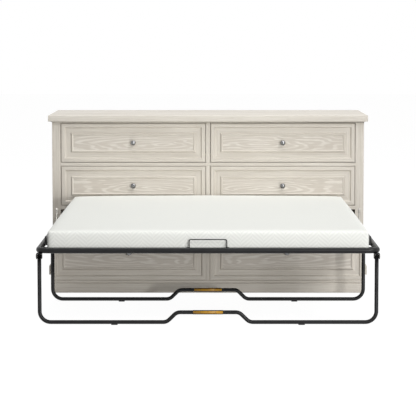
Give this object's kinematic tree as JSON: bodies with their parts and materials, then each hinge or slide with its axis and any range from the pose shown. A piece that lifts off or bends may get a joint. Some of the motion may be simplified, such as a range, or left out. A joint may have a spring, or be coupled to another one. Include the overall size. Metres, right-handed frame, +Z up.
{
  "type": "cabinet bed",
  "caption": "Whitewashed dresser cabinet with panelled fronts and a fold-out black steel bed frame: U-shaped folding legs, a pull-out trolley and a white foam mattress.",
  "frame": {"origin": "on the floor, in the middle of the whole object's footprint with the bed unfolded", "axes": "+Z up, +Y from the foot of the bed to the cabinet's back, +X to the right seen from the foot"},
  "size_m": [1.814, 2.599, 0.91],
  "materials": {
    "whitewashed_wood": "washed grey-beige wood grain, satin",
    "inner_board": "plain matt board",
    "polished_nickel": "polished nickel",
    "zinc_steel": "zinc-plated steel",
    "black_steel": "black powder coat",
    "black_plastic": "matt black plastic",
    "amber_tape": "amber plastic tape",
    "mattress_knit": "white knitted cover with a faint herringbone"
  },
  "bodies": {
    "cabinet": {"side_left": "whitewashed_wood", "side_right": "whitewashed_wood", "back_panel": "inner_board", "shelf": "inner_board", "partition": "inner_board", "top": "whitewashed_wood", "top_mouldings": "whitewashed_wood", "posts": "whitewashed_wood", "face_rails": "whitewashed_wood", "centre_stile": "whitewashed_wood", "base_mouldings": "whitewashed_wood", "false_fronts": "whitewashed_wood", "false_front_knobs": "polished_nickel", "false_front_backer": "inner_board", "cabinet_runners": "zinc_steel", "trolley_slide_outers": "zinc_steel", "trolley_slide_carriers": "inner_board", "head_rails": "black_steel", "head_anchors": "black_steel", "head_slats": "black_steel", "head_hinge_plates": "zinc_steel", "hinge_pins": "zinc_steel", "mattress_head": "mattress_knit", "head_side_guards": "black_steel"},
    "drawer_left": {"drawer_front_left": "whitewashed_wood", "drawer_box_left": "inner_board", "drawer_knob_left": "polished_nickel", "drawer_runners_left": "zinc_steel"},
    "drawer_right": {"drawer_front_right": "whitewashed_wood", "drawer_box_right": "inner_board", "drawer_knob_right": "polished_nickel", "drawer_runners_right": "zinc_steel"},
    "slide_middles": {"trolley_slide_middles": "zinc_steel"},
    "trolley": {"trolley_fronts": "whitewashed_wood", "trolley_stile": "whitewashed_wood", "trolley_plinth": "whitewashed_wood", "trolley_knobs": "polished_nickel", "trolley_box": "inner_board", "trolley_slide_inners": "zinc_steel", "caster_forks": "zinc_steel", "caster_axles": "zinc_steel"},
    "caster_left": {"caster_wheel_left": "black_plastic"},
    "caster_right": {"caster_wheel_right": "black_plastic"},
    "foot_frame": {"foot_tube": "black_steel", "foot_rails": "black_steel", "foot_slats": "black_steel", "foot_hinge_plates": "zinc_steel", "leg_brackets": "black_steel", "leg_pins": "zinc_steel", "mattress_foot": "mattress_knit", "retainer_hoop": "black_steel", "retainer_clips": "black_plastic", "foot_side_guards": "black_steel"},
    "front_leg": {"front_leg": "black_steel", "front_leg_glides": "black_plastic", "front_leg_tape": "amber_tape"},
    "rear_leg": {"rear_leg": "black_steel", "rear_leg_glides": "black_plastic", "rear_leg_tape": "amber_tape"}
  },
  "joints": [
    {"name": "drawer_left_slide", "type": "slide", "parent": "cabinet", "child": "drawer_left", "axis": [0, -1, 0], "range_m": [0, 0.4]},
    {"name": "drawer_right_slide", "type": "slide", "parent": "cabinet", "child": "drawer_right", "axis": [0, -1, 0], "range_m": [0, 0.4]},
    {"name": "trolley_slide", "type": "slide", "parent": "cabinet", "child": "trolley", "axis": [0, 1, 0], "range_m": [0, 0.8]},
    {"name": "slide_middles_travel", "type": "slide", "parent": "cabinet", "child": "slide_middles", "axis": [0, 1, 0], "range_m": [0, 0.4]},
    {"name": "caster_left_spin", "type": "hinge", "parent": "trolley", "child": "caster_left", "pos_m": [-0.5724, -0.0805, 0.025], "axis": [1, 0, 0], "continuous": true},
    {"name": "caster_right_spin", "type": "hinge", "parent": "trolley", "child": "caster_right", "pos_m": [0.5724, -0.0805, 0.025], "axis": [1, 0, 0], "continuous": true},
    {"name": "bed_fold", "type": "hinge", "parent": "cabinet", "child": "foot_frame", "pos_m": [0, -0.3705, 0.458], "axis": [-1, 0, 0], "range_deg": [0, 180]},
    {"name": "front_leg_fold", "type": "hinge", "parent": "foot_frame", "child": "front_leg", "pos_m": [0, -1.2715, 0.329], "axis": [1, 0, 0], "range_deg": [0, 90]},
    {"name": "rear_leg_fold", "type": "hinge", "parent": "foot_frame", "child": "rear_leg", "pos_m": [0, -0.4805, 0.329], "axis": [-1, 0, 0], "range_deg": [0, 90]}
  ],
  "couplings": [
    {"joint": "slide_middles_travel", "follows": "trolley_slide", "ratio": 0.5},
    {"joint": "front_leg_fold", "follows": "bed_fold", "ratio": 0.5},
    {"joint": "rear_leg_fold", "follows": "bed_fold", "ratio": 0.5}
  ]
}
